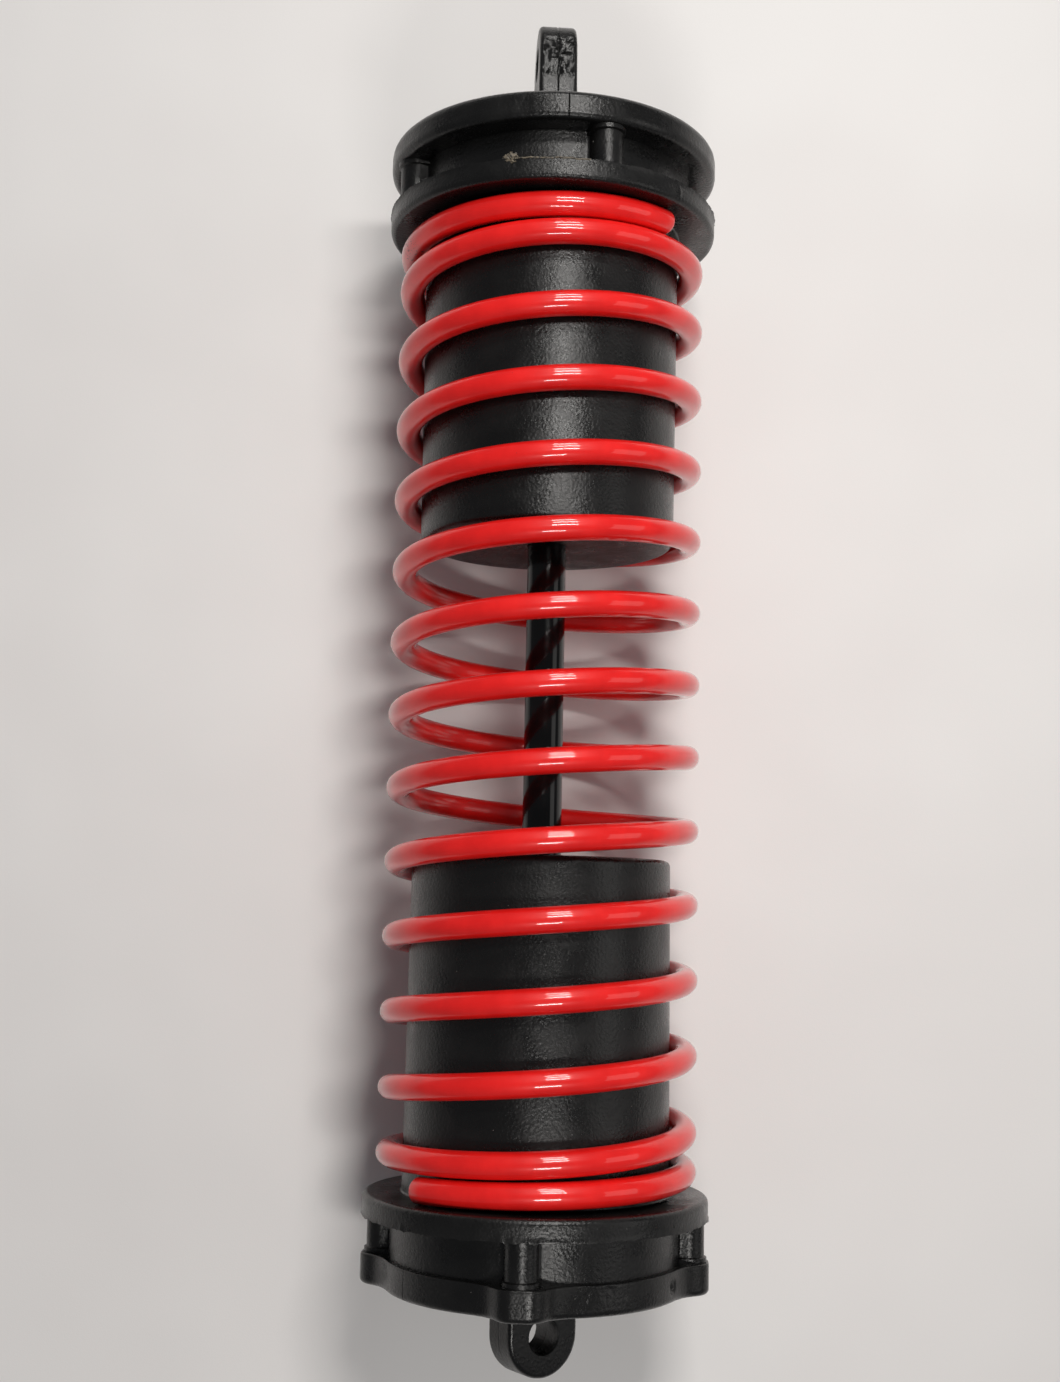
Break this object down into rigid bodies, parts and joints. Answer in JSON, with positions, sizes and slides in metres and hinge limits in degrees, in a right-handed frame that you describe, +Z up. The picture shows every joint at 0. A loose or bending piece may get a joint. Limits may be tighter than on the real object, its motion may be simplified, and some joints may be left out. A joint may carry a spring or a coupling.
{
  "type": "coil-over spring strut",
  "caption": "Straight spring strut: a coil spring over two moulded guide cups on a sliding rod, with an eye lug for a bolt at each end.",
  "frame": {"origin": "middle of the lower eye's bolt hole", "axes": "+X along the strut from the lower eye to the upper eye, +Z up as the strut lies on the ground, +Y across it"},
  "size_m": [0.3498, 0.0868, 0.0868],
  "materials": {
    "cap_plastic": "fine spark-grained black moulding",
    "cup_plastic": "fine spark-grained black moulding",
    "spring_paint": "gloss red powder coat on spring wire",
    "rod_lacquer": "gloss black coated steel rod",
    "bush_plastic": "natural acetal",
    "fixing_steel": "bright zinc",
    "bumper_rubber": "moulded rubber",
    "screw_steel": "zinc-plated self-tapping screws"
  },
  "bodies": {
    "lower_half": {"lower_end_cap": "cap_plastic", "lower_cap_screws": "screw_steel", "lower_cup": "cup_plastic", "bush_retaining_ring": "fixing_steel", "coil_spring": "spring_paint"},
    "swivel_bush": {"rod_guide_bush": "bush_plastic"},
    "upper_half": {"guide_rod": "rod_lacquer", "rod_cross_pin": "fixing_steel", "rebound_bumper": "bumper_rubber", "stop_washer": "fixing_steel", "stop_nut": "fixing_steel", "upper_cup": "cup_plastic", "upper_end_cap": "cap_plastic", "upper_cap_screws": "screw_steel"}
  },
  "joints": [
    {"name": "end_swivel", "type": "hinge", "parent": "lower_half", "child": "swivel_bush", "pos_m": [0.111, 0, 0], "axis": [1, 0, 0], "continuous": true},
    {"name": "strut_stroke", "type": "slide", "parent": "swivel_bush", "child": "upper_half", "axis": [-1, 0, 0], "range_m": [0, 0.065], "stiffness_N_per_m": 3600, "springref_m": -0.02, "deforming": ["coil_spring"]}
  ]
}
